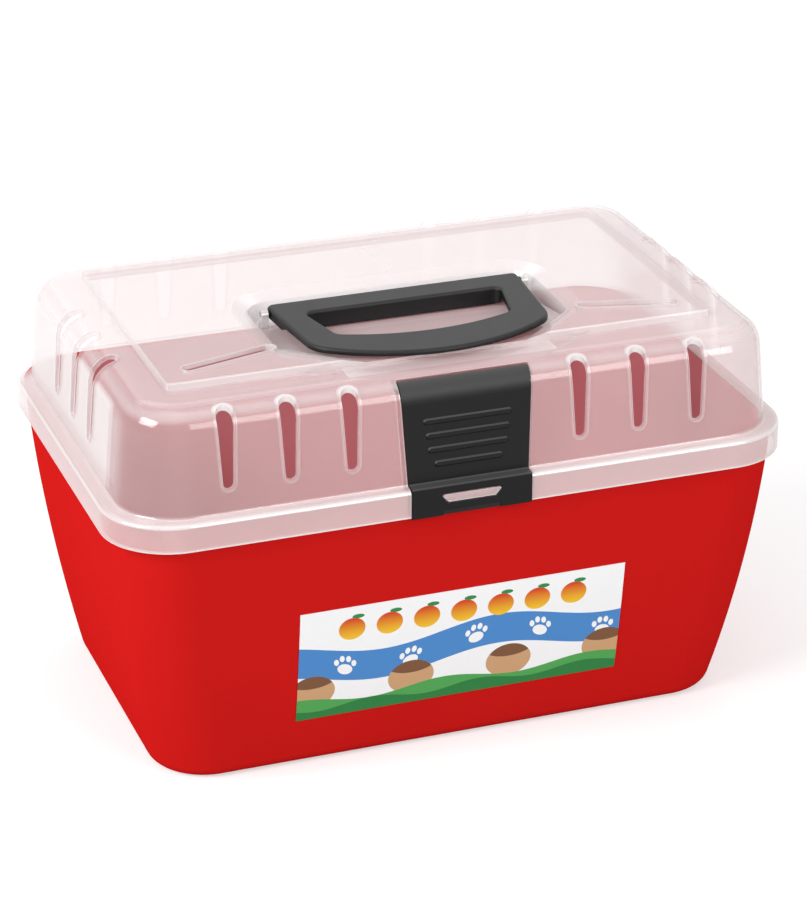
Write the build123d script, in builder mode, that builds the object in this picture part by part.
from build123d import *
from math import asin, atan2, cos, degrees, hypot, radians, sin, sqrt, tan
import os

# Small pet carrier: a red tub, a clear hinged lid, a carrying handle and a front latch.
# Millimetres. The origin is the middle of the tub's foot, X runs along the length to the
# right, the front with the label and the latch looks along -Y, and Z is up.

# Overall form: the skirt of the lid is the widest part
skirt_length = 380.0
skirt_width = 248.0
skirt_corner = 38.0
skirt_bottom = 149.0

# Tub
rim_inset_ends = 5.0
rim_inset_sides = 4.0
rim_corner_less = 3.0
tub_taper = 22.0
foot_corner_less = 2.0
foot_round = 8.0
wall_bow = 2.7
wall_sections = 4
tub_wall = 2.2
floor_thickness = 2.6
lip_out = 1.2
lip_height = 3.0
rim_length = skirt_length - 2 * rim_inset_ends
rim_width = skirt_width - 2 * rim_inset_sides
rim_corner = skirt_corner - rim_corner_less
foot_length = rim_length - 2 * tub_taper
foot_width = rim_width - 2 * tub_taper
foot_corner = rim_corner - foot_corner_less

# Lid
lid_wall = 1.8
lid_rest_gap = 0.2
skirt_height = 15.7
skirt_round = 3.0
ledge_ends = 8.0
ledge_sides = 5.5
dome_rise = 57.3
dome_corner_less = 4.0
dome_draft = 5.0
dome_round = 14.5
dome_foot_round = 1.5
plateau_rise = 4.0
plateau_inset_ends = 30.0
plateau_inset_sides = 33.5
plateau_corner = 3.0
plateau_edge_round = 1.2
ledge_height = skirt_bottom + skirt_height
dome_length = skirt_length - 2 * ledge_ends
dome_width = skirt_width - 2 * ledge_sides
dome_corner = skirt_corner - dome_corner_less
margin_height = ledge_height + dome_rise
plateau_height = margin_height + plateau_rise
plateau_length = dome_length - 2 * plateau_inset_ends
plateau_width = dome_width - 2 * plateau_inset_sides

# Handle bay in the top of the lid: a gentle slope from the rim, a steeper wall, then a floor that
# rises to the front, and a shallow apron in front of the plateau
bay_half_length = 91.0
bay_back = 23.0
bay_front_overrun = 11.0
bay_mouth_half = 58.0
bay_mouth_turn = 42.0
bay_back_round = 26.0
bay_side_round = 65.0
bay_front_round = 3.0
bay_edge_in = 8.4
bay_edge_drop = 2.8
bay_foot_in = 12.9
bay_depth = 9.8
bay_ramp_back = 25.0
bay_ramp_step = 0.6
apron_depth = 1.2
apron_half_length = 78.0
apron_mouth_half = 44.0
apron_reach = 27.0
apron_slope_run = 5.0
bay_floor = plateau_height - bay_depth
bay_front = -plateau_width / 2 - bay_front_overrun

# Vent slots
vent_pitch = 33.3
front_vent_first = 63.2
front_vents_each_side = 3
end_vents = 3
vent_shoulder_drop = 8.5
vent_foot_rise = 13.3
vent_top_width = 9.0
vent_foot_width = 6.0
front_vent_reach = 5.6
end_vent_reach = 13.0
top_slot_out = 21.0
top_slot_back = 22.0
top_slot_length = 55.0
top_slot_width = 6.4
top_slot_turn = 15.0
bead_width = 1.3
bead_height = 0.6
vent_shoulder = margin_height - vent_shoulder_drop
vent_foot = ledge_height + vent_foot_rise
top_slot_place = (bay_half_length + top_slot_out, top_slot_back - plateau_width / 2)

# Carrying handle
handle_side_room = 18.5
handle_front_overhang = 4.5
handle_shoulder_in = 5.5
handle_shoulder_back = 25.4
handle_thickness = 10.0
handle_arm_thickness = 3.8
handle_front_thickness = 2.8
handle_end_thickness = 5.8
handle_end_taper = 20.0
handle_step_run = 9.0
handle_floor_gap = 0.8
handle_shoulder_round = 18.0
handle_end_round = 4.0
handle_edge_round = 1.8
handle_lower_round = 4.2
grip_hole_end_bar = 16.3
grip_hole_back_bar = 17.5
grip_hole_shoulder_in = 23.5
grip_hole_shoulder_back = 37.8
grip_bar_front = 27.5
grip_hole_round = 4.5
handle_pivot_inset = 5.0
handle_pivot_drop = 3.6
handle_stub_radius = 2.0
handle_stub_length = 3.0
handle_side_gap = 0.4
post_length = 3.8
post_radius = 3.0
handle_half_length = bay_half_length - handle_side_room
handle_front = -plateau_width / 2 - handle_front_overhang
handle_shoulder_x = handle_half_length - handle_shoulder_in
handle_shoulder_y = handle_front + handle_shoulder_back
handle_bottom = bay_floor + handle_floor_gap
handle_top = handle_bottom + handle_thickness
handle_pivot_y = -handle_pivot_inset
handle_pivot_z = handle_top - handle_pivot_drop

# Front latch
latch_half_top = 36.2
latch_half_foot = 33.3
latch_overhang = 0.8
latch_thickness = 2.0
latch_proud = 0.5
latch_gap = 0.3
latch_side_gap = 0.4
latch_step_round = 1.0
latch_barrel_radius = 3.2
latch_top_angle = 48.0
latch_stub_radius = 1.6
latch_stub_length = 1.8
grip_rib_drop = 23.4
grip_rib_pitch = 7.8
grip_rib_half_lengths = (24.6, 23.4, 22.4, 19.0)
grip_rib_width = 3.6
grip_rib_height = 0.9
grip_rib_draft = 40.0
window_half_top = 17.5
window_half_foot = 13.7
window_drop = 4.3
window_height = 5.6
window_round = 0.8
window_gap = 0.6
finger_relief_half = 16.0
finger_relief_height = 2.6
finger_relief_depth = 1.0
lug_proud = 0.3
hook_reach = 1.9
hook_height = 2.1
catch_height = 2.5
catch_gap = 0.5
catch_out = 1.5
catch_half_length = 30.0
rim_run_gap = 1.0
latch_bottom = skirt_bottom - latch_overhang
latch_depth = latch_thickness - latch_proud + latch_gap
latch_lean = (latch_half_top - latch_half_foot) / dome_rise
grip_rib_top = margin_height - grip_rib_drop
window_top = ledge_height - window_drop
window_foot = window_top - window_height
hook_top = latch_bottom + hook_height
catch_foot = hook_top + catch_gap
catch_top = catch_foot + catch_height

# Rear hinges
hinge_half_spacing = 95.0
hinge_stand_off = 3.5
hinge_rise = 0.5
knuckle_radius = 3.2
knuckle_length = 11.4
lug_length = 6.0
lug_side_gap = 0.3
lug_top_drop = 0.4
lug_foot_drop = 11.5
web_rise = 10.5
pin_radius = 1.5
hinge_y = skirt_width / 2 + hinge_stand_off
hinge_z = skirt_bottom + hinge_rise

# Label
label_length = 184.0
label_foot = 30.0
label_height = 68.6
label_thickness = 0.3
label_film_gap = 0.1

# Running fits
fixed_pin_clearance = 0.02
running_clearance = 0.08

# Heights and lengths that only cuts use
tub_top = ledge_height - lid_wall - lid_rest_gap
overshoot = 1.0
reach = 20.0
above_all = max(handle_top, plateau_height) + reach


# The tub's outer form

def tub_form(inset, bottom, top):
    """Solid inside the bowed walls, with every wall moved in by the inset."""
    with BuildPart() as form:
        for step in range(wall_sections):
            height = bottom + (skirt_bottom - bottom) * step / (wall_sections - 1)
            share = height / skirt_bottom
            bow = 2 * wall_bow * 4 * share * (1 - share)
            length = foot_length + (rim_length - foot_length) * share + bow
            width = foot_width + (rim_width - foot_width) * share + bow
            corner = foot_corner + (rim_corner - foot_corner) * share
            with BuildSketch(Plane.XY.offset(height)):
                RectangleRounded(length - 2 * inset, width - 2 * inset, corner - inset)
        loft()
        with BuildSketch(Plane.XY.offset(skirt_bottom)):
            RectangleRounded(rim_length - 2 * inset, rim_width - 2 * inset, rim_corner - inset)
        extrude(amount=top - skirt_bottom)
        fillet(form.faces().sort_by(Axis.Z)[0].edges(), foot_round - inset)
    return form.part


# The lid's form and its pockets

def wall_y(height, inset):
    """Y of the dome's front wall at a height."""
    return (-dome_width / 2 + (height - ledge_height) * tan(radians(dome_draft))
            + inset / cos(radians(dome_draft)))


shoulder_z = margin_height - dome_round
shoulder_y = wall_y(shoulder_z, 0) + dome_round / cos(radians(dome_draft))


def shoulder_point(inset, angle):
    """Point (Y, Z) on the round between the front wall and the top, at an angle above level."""
    radius = dome_round - inset
    return (shoulder_y - radius * cos(radians(angle)), shoulder_z + radius * sin(radians(angle)))


latch_pivot_y, latch_pivot_z = shoulder_point(latch_barrel_radius - latch_proud, latch_top_angle)


def front_points(inset, foot):
    """Corners (Y, Z) of the lid's front, from a foot up over the ledge to the start of the round."""
    return (
        (-skirt_width / 2 + inset, foot),
        (-skirt_width / 2 + inset, ledge_height - inset),
        (wall_y(ledge_height - inset, inset), ledge_height - inset),
        shoulder_point(inset, dome_draft),
    )


def shoulder_arc_points(inset):
    """Start, middle and end of the round that the latch follows."""
    middle = (dome_draft + latch_top_angle) / 2
    return [shoulder_point(inset, angle) for angle in (dome_draft, middle, latch_top_angle)]


def latch_sides(grow):
    """What lies between the latch's leaning side lines, moved out by the distance."""
    foot_half = latch_half_foot + grow
    top_half = foot_half + latch_lean * (above_all - ledge_height)
    with BuildPart() as sides:
        with BuildSketch(Plane.XZ):
            with BuildLine():
                Polyline(
                    (-foot_half, 0), (foot_half, 0), (foot_half, ledge_height), (top_half, above_all),
                    (-top_half, above_all), (-foot_half, ledge_height), close=True,
                )
            make_face()
        extrude(amount=skirt_width, both=True)
    return sides.part


def latch_pocket(grow):
    """Space that the latch lies in. Grown by the lid's wall, it shapes the inside of the lid."""
    inset = latch_depth + grow
    trough = latch_barrel_radius + latch_gap + grow
    along = radians(90 - latch_top_angle)
    back_y = latch_pivot_y + trough * cos(along)
    back_z = latch_pivot_z + trough * sin(along)
    mouth_y = back_y - reach * sin(along)
    mouth_z = back_z + reach * cos(along)
    outside = -skirt_width / 2 - reach
    below = skirt_bottom - reach
    with BuildPart() as pocket:
        with BuildSketch(Plane.YZ):
            with BuildLine():
                Polyline((outside, below), *front_points(inset, below))
                ThreePointArc(*shoulder_arc_points(inset))
                Polyline(
                    shoulder_point(inset, latch_top_angle), (latch_pivot_y, latch_pivot_z),
                    (back_y, back_z), (mouth_y, mouth_z), (outside, mouth_z), (outside, below),
                )
            make_face()
            with Locations((latch_pivot_y, latch_pivot_z)):
                Circle(trough)
        extrude(amount=skirt_length / 2, both=True)
        add(latch_sides(latch_side_gap + grow), mode=Mode.INTERSECT)
    return pocket.part


def corner_shift(lower_lean, upper_lean):
    """How far out and down a bent wall's corner moves when the wall moves out by one unit.

    Each lean is an angle from upright, with 90 degrees for level."""
    lower = radians(lower_lean)
    upper = radians(upper_lean)
    turn = sin(upper - lower)
    return ((sin(upper) - sin(lower)) / turn, (cos(lower) - cos(upper)) / turn)


def bay_outline(height, inward):
    """Outline of the handle bay at a height, moved in from the rim by a distance."""
    turn = radians(bay_mouth_turn)
    side = bay_half_length - inward
    back = bay_back - inward
    point_x = bay_mouth_half - inward * sin(turn)
    point_y = -plateau_width / 2 + inward * cos(turn)
    shoulder = point_y + (side - point_x) * tan(turn)
    mouth = point_x + (bay_front - point_y) / tan(turn)
    with BuildSketch(Plane.XY.offset(height)) as outline:
        with BuildLine():
            Polyline(
                (-side, back), (side, back), (side, shoulder), (mouth, bay_front),
                (-mouth, bay_front), (-side, shoulder), close=True,
            )
        make_face()
        corners = outline.vertices().group_by(Axis.Y)
        fillet(corners[-1], bay_back_round - inward)
        fillet(corners[-2], bay_side_round - inward)
        fillet(corners[0], bay_front_round)
    return outline.sketch


def ramp_space(inset):
    """What lies above the floor of the bay: level at the back, rising to the front."""
    floor = bay_floor - inset
    ramp_rise = margin_height + bay_ramp_step - bay_floor
    slope = ramp_rise / (plateau_width / 2 - bay_ramp_back)
    far = skirt_width
    with BuildPart() as space:
        with BuildSketch(Plane.YZ):
            with BuildLine():
                Polyline(
                    (far, floor), (-bay_ramp_back, floor), (-far, floor + slope * (far - bay_ramp_back)),
                    (-far, floor + far), (far, floor + far), close=True,
                )
            make_face()
        extrude(amount=skirt_length, both=True)
    return space.part


def handle_bay(inset):
    """Space of the handle bay between its floor and its walls, moved out by the inset."""
    edge_height = plateau_height - bay_edge_drop
    wall_lean = degrees(atan2(bay_foot_in - bay_edge_in, edge_height - bay_floor))
    slope_lean = degrees(atan2(bay_edge_in, bay_edge_drop))
    foot_out, foot_down = corner_shift(90, wall_lean)
    edge_out, edge_down = corner_shift(wall_lean, slope_lean)
    rim_out, rim_down = corner_shift(slope_lean, 90)
    rise = 2 * overshoot
    with BuildPart() as bay:
        loft([
            bay_outline(bay_floor - foot_down * inset, bay_foot_in - foot_out * inset),
            bay_outline(edge_height - edge_down * inset, bay_edge_in - edge_out * inset),
            bay_outline(plateau_height + rise - rim_down * inset,
                        -rise * tan(radians(slope_lean)) - rim_out * inset),
        ], ruled=True)
        add(ramp_space(inset), mode=Mode.INTERSECT)
    return bay.part


def apron_outline(height, inward):
    """Outline of the shallow apron between the plateau and the latch."""
    back = -plateau_width / 2 + overshoot
    side = apron_half_length - inward
    mouth = apron_mouth_half - inward
    with BuildSketch(Plane.XY.offset(height)) as outline:
        with BuildLine():
            Polyline(
                (-side, back), (side, back), (mouth, back - apron_reach),
                (-mouth, back - apron_reach), close=True,
            )
        make_face()
    return outline.sketch


def apron(inset):
    """Space of the apron, moved out by the inset."""
    slope_lean = degrees(atan2(apron_slope_run, apron_depth))
    foot_out, foot_down = corner_shift(90, slope_lean)
    rise = overshoot
    with BuildPart() as space:
        loft([
            apron_outline(margin_height - apron_depth - foot_down * inset,
                          apron_slope_run - foot_out * inset),
            apron_outline(margin_height + rise - foot_down * inset,
                          -rise * tan(radians(slope_lean)) - foot_out * inset),
        ], ruled=True)
    return space.part


def lid_form(inset, bottom):
    """Solid inside the lid's outer surface, with every surface moved in by the inset."""
    draft_sink = 2 * inset / cos(radians(dome_draft)) - 2 * inset * tan(radians(dome_draft))
    ledge = ledge_height - inset
    with BuildPart() as form:
        with BuildSketch(Plane.XY.offset(bottom)):
            RectangleRounded(skirt_length - 2 * inset, skirt_width - 2 * inset, skirt_corner - inset)
        extrude(amount=ledge - bottom)
        fillet(form.faces().sort_by(Axis.Z)[-1].edges(), max(skirt_round - inset, skirt_round / 2))
        with BuildSketch(Plane.XY.offset(ledge)):
            RectangleRounded(dome_length - draft_sink, dome_width - draft_sink, dome_corner - inset)
        extrude(amount=dome_rise, taper=dome_draft)
        fillet(form.faces().sort_by(Axis.Z)[-1].edges(), dome_round - inset)
        ledge_face = form.faces().filter_by(Axis.Z).sort_by(Axis.Z)[-2]
        fillet(ledge_face.inner_wires()[0].edges(), dome_foot_round + inset)
        with BuildSketch(Plane.XY.offset(margin_height - inset - overshoot)):
            RectangleRounded(plateau_length - 2 * inset, plateau_width - 2 * inset, plateau_corner)
        extrude(amount=plateau_rise + overshoot)
        if inset < plateau_edge_round:
            fillet(form.faces().sort_by(Axis.Z)[-1].edges(), plateau_edge_round - inset)
        add(handle_bay(inset), mode=Mode.SUBTRACT)
        add(apron(inset), mode=Mode.SUBTRACT)
        add(latch_pocket(inset), mode=Mode.SUBTRACT)
    return form.part


def vent_cutter(edge, vent_reach, grow):
    """Space of one vent in a wall that looks along -Y, where the top's edge line lies at -edge."""
    top_radius = vent_top_width / 2 + grow
    foot_radius = vent_foot_width / 2 + grow
    end_y = edge - vent_reach + vent_top_width / 2
    with BuildPart() as cutter:
        with BuildSketch(Plane.XZ.offset(end_y)):
            with Locations((0, vent_foot + vent_foot_width / 2)):
                Circle(foot_radius)
            with Locations((0, vent_shoulder), (0, above_all)):
                Circle(top_radius)
            make_hull()
        extrude(amount=reach)
        with BuildSketch(Plane.XY.offset(shoulder_z)):
            with Locations((0, -end_y)):
                Circle(top_radius)
        extrude(amount=above_all - shoulder_z)
    return cutter.part


def vent_cutters(grow):
    """The vents of the front, the back and both ends."""
    top_shrink = (margin_height - ledge_height) * tan(radians(dome_draft))
    front = vent_cutter(dome_width / 2 - top_shrink, front_vent_reach, grow)
    end = vent_cutter(dome_length / 2 - top_shrink, end_vent_reach, grow)
    with BuildPart() as cutters:
        for step in range(front_vents_each_side):
            across = front_vent_first + vent_pitch * step
            for turn in (0, 180):
                add(Pos(across, 0, 0) * Rot(0, 0, turn) * front)
                add(Pos(-across, 0, 0) * Rot(0, 0, turn) * front)
        for step in range(end_vents):
            across = vent_pitch * (step - (end_vents - 1) / 2)
            for turn in (90, -90):
                add(Pos(0, across, 0) * Rot(0, 0, turn) * end)
    return cutters.part


def top_slots(grow, bottom, top):
    """The slots that lean across the front of the plateau, one at each side of the bay."""
    slot_x, slot_y = top_slot_place
    with BuildPart() as slots:
        with BuildSketch(Plane.XY.offset(bottom)):
            with Locations((slot_x, slot_y)):
                SlotOverall(top_slot_length + 2 * grow, top_slot_width + 2 * grow, rotation=-top_slot_turn)
            with Locations((-slot_x, slot_y)):
                SlotOverall(top_slot_length + 2 * grow, top_slot_width + 2 * grow, rotation=top_slot_turn)
        extrude(amount=top - bottom)
    return slots.part


# Hinge parts, each drawn in the plane square to the hinge axis

def hinge_tangent(y, z, side):
    """Point where a line from (Y, Z) touches the knuckle's circle, above (1) or below (-1)."""
    distance = hypot(hinge_y - y, hinge_z - z)
    angle = atan2(hinge_z - z, hinge_y - y) + side * asin(knuckle_radius / distance)
    run = sqrt(distance ** 2 - knuckle_radius ** 2)
    return (y + run * cos(angle), z + run * sin(angle))


def hinge_lug(middle):
    """Lug of the tub: a gusset under the skirt's edge that ends in a round eye."""
    root_y = rim_width / 2 - tub_wall / 2
    lug_top = skirt_bottom - lug_top_drop
    lug_foot = hinge_z - lug_foot_drop
    with BuildPart() as lug:
        with BuildSketch(Plane.YZ.offset(middle)):
            with Locations((hinge_y, hinge_z)):
                Circle(knuckle_radius)
            with BuildLine():
                Polyline(
                    (root_y, lug_top), (hinge_y, lug_top),
                    hinge_tangent(root_y, lug_foot, -1), (root_y, lug_foot), close=True,
                )
            make_face()
        extrude(amount=lug_length / 2, both=True)
    return lug.part


def hinge_knuckle(middle):
    """Knuckle of the lid, on a web that stands on the outside of the skirt."""
    root_y = skirt_width / 2 - lid_wall / 2
    web_top = hinge_z + web_rise
    with BuildPart() as knuckle:
        with BuildSketch(Plane.YZ.offset(middle)):
            with Locations((hinge_y, hinge_z)):
                Circle(knuckle_radius)
            with BuildLine():
                Polyline(
                    (root_y, web_top), hinge_tangent(root_y, web_top, 1),
                    (hinge_y, hinge_z), (root_y, hinge_z), close=True,
                )
            make_face()
        extrude(amount=knuckle_length / 2, both=True)
    return knuckle.part


def rod(middle, y, z, radius, length):
    """Round rod along X."""
    with BuildPart() as bar:
        with BuildSketch(Plane.YZ.offset(middle)):
            with Locations((y, z)):
                Circle(radius)
        extrude(amount=length / 2, both=True)
    return bar.part


def block(x_range, y_range, z_range):
    """Block between three pairs of coordinates."""
    with BuildPart() as body:
        with BuildSketch(Plane.XY.offset(z_range[0])):
            with Locations(((x_range[0] + x_range[1]) / 2, (y_range[0] + y_range[1]) / 2)):
                Rectangle(x_range[1] - x_range[0], y_range[1] - y_range[0])
        extrude(amount=z_range[1] - z_range[0])
    return body.part


hinge_middles = (-hinge_half_spacing, hinge_half_spacing)
lug_offset = knuckle_length / 2 + lug_side_gap + lug_length / 2
pin_length = 2 * lug_offset + lug_length
ledge_under_latch = ledge_height - latch_depth - lid_wall
pocket_half_foot = latch_half_foot + latch_side_gap
skirt_inner_at_latch = rim_width / 2 + rim_run_gap
front_rim_y = -rim_width / 2
latch_half_at_pivot = latch_half_foot + latch_lean * (latch_pivot_z - ledge_height)


# Tub

with BuildPart() as tub:
    add(tub_form(0, 0, tub_top))
    with BuildSketch(Plane.XY.offset(tub_top - lip_height)):
        RectangleRounded(rim_length + 2 * lip_out, rim_width + 2 * lip_out, rim_corner + lip_out)
    extrude(amount=lip_height)
    for middle in hinge_middles:
        for side in (-1, 1):
            add(hinge_lug(middle + side * lug_offset))
        pin_hole = rod(middle, hinge_y, hinge_z, pin_radius + fixed_pin_clearance, pin_length + overshoot)
        add(pin_hole, mode=Mode.SUBTRACT)
    add(tub_form(tub_wall, floor_thickness, above_all), mode=Mode.SUBTRACT)
    notch_half = pocket_half_foot + lid_wall + rim_run_gap
    notch_floor = ledge_under_latch - lid_rest_gap
    notch_front = front_rim_y - lip_out - overshoot
    notch_back = front_rim_y + tub_wall + overshoot
    add(block((-notch_half, notch_half), (notch_front, notch_back), (notch_floor, above_all)),
        mode=Mode.SUBTRACT)
    add(block((-notch_half, notch_half), (notch_front, front_rim_y), (catch_top, above_all)),
        mode=Mode.SUBTRACT)
    catch_front = front_rim_y - catch_out
    catch_back = front_rim_y + tub_wall / 2
    add(block((-catch_half_length, catch_half_length), (catch_front, catch_back), (catch_foot, catch_top)))
tub.part.label = "tub"


# Lid

with BuildPart() as beads:
    add(vent_cutters(bead_width))
    add(lid_form(-bead_height, skirt_bottom), mode=Mode.INTERSECT)
    add(top_slots(bead_width, margin_height, plateau_height + bead_height))


def window_shape(grow):
    """Outline, seen from the front, of the latch's window or of the lug that fills it."""
    with BuildSketch(Plane.XZ.offset(skirt_inner_at_latch)) as shape:
        with BuildLine():
            Polyline(
                (-window_half_foot - grow, window_foot - grow), (window_half_foot + grow, window_foot - grow),
                (window_half_top + grow, window_top + grow), (-window_half_top - grow, window_top + grow),
                close=True,
            )
        make_face()
        fillet(shape.vertices(), window_round)
    return shape.sketch


with BuildPart() as lid:
    add(lid_form(0, skirt_bottom))
    add(beads.part)
    add(lid_form(lid_wall, skirt_bottom - overshoot), mode=Mode.SUBTRACT)
    add(vent_cutters(0), mode=Mode.SUBTRACT)
    add(top_slots(0, bay_floor, above_all), mode=Mode.SUBTRACT)
    pocket_back_half = pocket_half_foot + lid_wall
    pocket_back = -skirt_inner_at_latch + reach / 2
    below_skirt = skirt_bottom - overshoot
    add(
        block((-pocket_back_half, pocket_back_half), (-skirt_inner_at_latch, pocket_back),
              (below_skirt, ledge_under_latch)),
        mode=Mode.SUBTRACT,
    )
    add(
        block((-pocket_half_foot, pocket_half_foot), (-skirt_width / 2 - overshoot, pocket_back),
              (below_skirt, catch_top + catch_gap)),
        mode=Mode.SUBTRACT,
    )
    extrude(window_shape(-window_gap), amount=skirt_width / 2 - skirt_inner_at_latch + lug_proud)
    for side in (-1, 1):
        post_middle = side * (handle_half_length + handle_side_gap + post_length / 2)
        with BuildSketch(Plane.YZ.offset(post_middle)):
            with Locations((handle_pivot_y, handle_pivot_z)):
                Circle(post_radius)
            with Locations((handle_pivot_y, (bay_floor - lid_wall / 2 + handle_pivot_z) / 2)):
                Rectangle(2 * post_radius, handle_pivot_z - bay_floor + lid_wall / 2)
        extrude(amount=post_length / 2, both=True)
    post_end = handle_half_length + handle_side_gap + post_length
    add(
        rod(0, handle_pivot_y, handle_pivot_z, handle_stub_radius + running_clearance, 2 * post_end),
        mode=Mode.SUBTRACT,
    )
    latch_bore_length = 2 * (latch_half_at_pivot + latch_stub_length + overshoot)
    add(
        rod(0, latch_pivot_y, latch_pivot_z, latch_stub_radius + running_clearance, latch_bore_length),
        mode=Mode.SUBTRACT,
    )
    for middle in hinge_middles:
        add(hinge_knuckle(middle))
        pin_bore = rod(middle, hinge_y, hinge_z, pin_radius + running_clearance, knuckle_length + overshoot)
        add(pin_bore, mode=Mode.SUBTRACT)
lid.part.label = "lid"


# Carrying handle

with BuildPart() as carry_handle:
    with BuildSketch(Plane.XY.offset(handle_bottom)) as plan:
        with BuildLine():
            Polyline(
                (-handle_shoulder_x, handle_shoulder_y), (-handle_half_length, 0),
                (handle_half_length, 0), (handle_shoulder_x, handle_shoulder_y),
            )
            ThreePointArc(
                (handle_shoulder_x, handle_shoulder_y), (0, handle_front),
                (-handle_shoulder_x, handle_shoulder_y),
            )
        make_face()
        fillet(plan.vertices().group_by(Axis.Y)[-1], handle_end_round)
        fillet(plan.vertices().group_by(Axis.Y)[0], handle_shoulder_round)
        with BuildSketch(mode=Mode.PRIVATE) as grip_hole:
            hole_back_x = handle_half_length - grip_hole_end_bar
            hole_shoulder_x = handle_half_length - grip_hole_shoulder_in
            hole_shoulder_y = handle_front + grip_hole_shoulder_back
            with BuildLine():
                Polyline(
                    (-hole_shoulder_x, hole_shoulder_y), (-hole_back_x, -grip_hole_back_bar),
                    (hole_back_x, -grip_hole_back_bar), (hole_shoulder_x, hole_shoulder_y),
                )
                ThreePointArc(
                    (hole_shoulder_x, hole_shoulder_y), (0, handle_front + grip_bar_front),
                    (-hole_shoulder_x, hole_shoulder_y),
                )
            make_face()
            fillet(grip_hole.vertices(), grip_hole_round)
        add(grip_hole.sketch, mode=Mode.SUBTRACT)
    extrude(amount=handle_thickness)
    fillet(carry_handle.faces().sort_by(Axis.Z)[-1].edges(), handle_edge_round)
    with BuildSketch(Plane.YZ) as side_view:
        with BuildLine():
            Polyline(
                (-grip_hole_back_bar, handle_bottom), (0, handle_bottom), (0, above_all),
                (handle_front, above_all), (handle_front, handle_top - handle_front_thickness),
                (-grip_hole_back_bar - handle_step_run, handle_top - handle_arm_thickness), close=True,
            )
        make_face()
        fillet(side_view.vertices().group_by(Axis.Y)[0].sort_by(Axis.X)[-1], handle_lower_round)
    extrude(amount=handle_half_length, both=True, mode=Mode.INTERSECT)
    with BuildSketch(Plane.XZ):
        with BuildLine():
            deep_half = handle_half_length - handle_end_taper
            end_foot = handle_top - handle_end_thickness
            Polyline(
                (-deep_half, handle_bottom), (deep_half, handle_bottom), (handle_half_length, end_foot),
                (handle_half_length, above_all), (-handle_half_length, above_all),
                (-handle_half_length, end_foot), close=True,
            )
        make_face()
    extrude(amount=-handle_front, mode=Mode.INTERSECT)
    for side in (-1, 1):
        stub_middle = side * (handle_half_length + (handle_stub_length - overshoot) / 2)
        stub_length = handle_stub_length + overshoot
        add(rod(stub_middle, handle_pivot_y, handle_pivot_z, handle_stub_radius, stub_length))
carry_handle.part.label = "carry_handle"


# Front latch

with BuildPart() as front_latch:
    inner = latch_thickness - latch_proud
    top_outside = shoulder_point(-latch_proud, latch_top_angle)
    top_inside = shoulder_point(inner, latch_top_angle)
    with BuildSketch(Plane.YZ):
        with BuildLine():
            FilletPolyline(*front_points(-latch_proud, latch_bottom), radius=latch_step_round)
            ThreePointArc(*shoulder_arc_points(-latch_proud))
            Line(top_outside, top_inside)
            ThreePointArc(*shoulder_arc_points(inner))
            Polyline(*front_points(inner, latch_bottom))
            Line((-skirt_width / 2 + inner, latch_bottom), (-skirt_width / 2 - latch_proud, latch_bottom))
        make_face()
        with Locations((latch_pivot_y, latch_pivot_z)):
            Circle(latch_barrel_radius)
        with Locations((-skirt_width / 2 + inner - latch_thickness / 2, latch_bottom)):
            Rectangle(latch_thickness / 2 + hook_reach, hook_height, align=(Align.MIN, Align.MIN))
    extrude(amount=skirt_length / 2, both=True)
    add(latch_sides(0), mode=Mode.INTERSECT)
    extrude(window_shape(0), amount=reach / 2, mode=Mode.SUBTRACT)
    with BuildSketch(Plane.YZ):
        with BuildLine():
            outer_face = -skirt_width / 2 - latch_proud
            relief_back = outer_face + finger_relief_depth
            relief_top = latch_bottom + finger_relief_height
            Polyline(
                (outer_face - overshoot, relief_top), (outer_face, relief_top), (relief_back, latch_bottom),
                (relief_back, latch_bottom - overshoot), (outer_face - overshoot, latch_bottom - overshoot),
                close=True,
            )
        make_face()
    extrude(amount=finger_relief_half, both=True, mode=Mode.SUBTRACT)
    for step, half_length in enumerate(grip_rib_half_lengths):
        rib_z = grip_rib_top - grip_rib_pitch * step
        rib_plane = Plane(
            origin=(0, wall_y(rib_z, -latch_proud), rib_z), x_dir=(1, 0, 0),
            z_dir=(0, -cos(radians(dome_draft)), sin(radians(dome_draft))),
        )
        with BuildSketch(rib_plane):
            SlotOverall(2 * half_length, grip_rib_width)
        extrude(amount=grip_rib_height, taper=grip_rib_draft)
        with BuildSketch(rib_plane):
            SlotOverall(2 * half_length, grip_rib_width)
        extrude(amount=-latch_thickness / 2)
    for side in (-1, 1):
        stub_middle = side * (latch_half_at_pivot + (latch_stub_length - overshoot) / 2)
        stub_length = latch_stub_length + overshoot
        add(rod(stub_middle, latch_pivot_y, latch_pivot_z, latch_stub_radius, stub_length))
front_latch.part.label = "front_latch"


# Label

with BuildPart() as front_label:
    label_half = label_length / 2
    add(block((-label_half, label_half), (-skirt_width, 0), (label_foot, label_foot + label_height)))
    add(tub_form(-label_film_gap - label_thickness, 0, tub_top), mode=Mode.INTERSECT)
    add(tub_form(-label_film_gap, 0, tub_top), mode=Mode.SUBTRACT)
front_label.part.label = "front_label"


# Hinge pins

pins = []
for middle, name in zip(hinge_middles, ("left_hinge_pin", "right_hinge_pin")):
    with BuildPart() as hinge_pin:
        add(rod(middle, hinge_y, hinge_z, pin_radius, pin_length))
    hinge_pin.part.label = name
    pins.append(hinge_pin)


os.makedirs("parts", exist_ok=True)
for piece in (tub, lid, carry_handle, front_latch, front_label, *pins):
    print(piece.part.label, piece.part.volume, piece.part.is_valid, len(piece.part.solids()))
    export_step(piece.part, f"parts/{piece.part.label}.step")
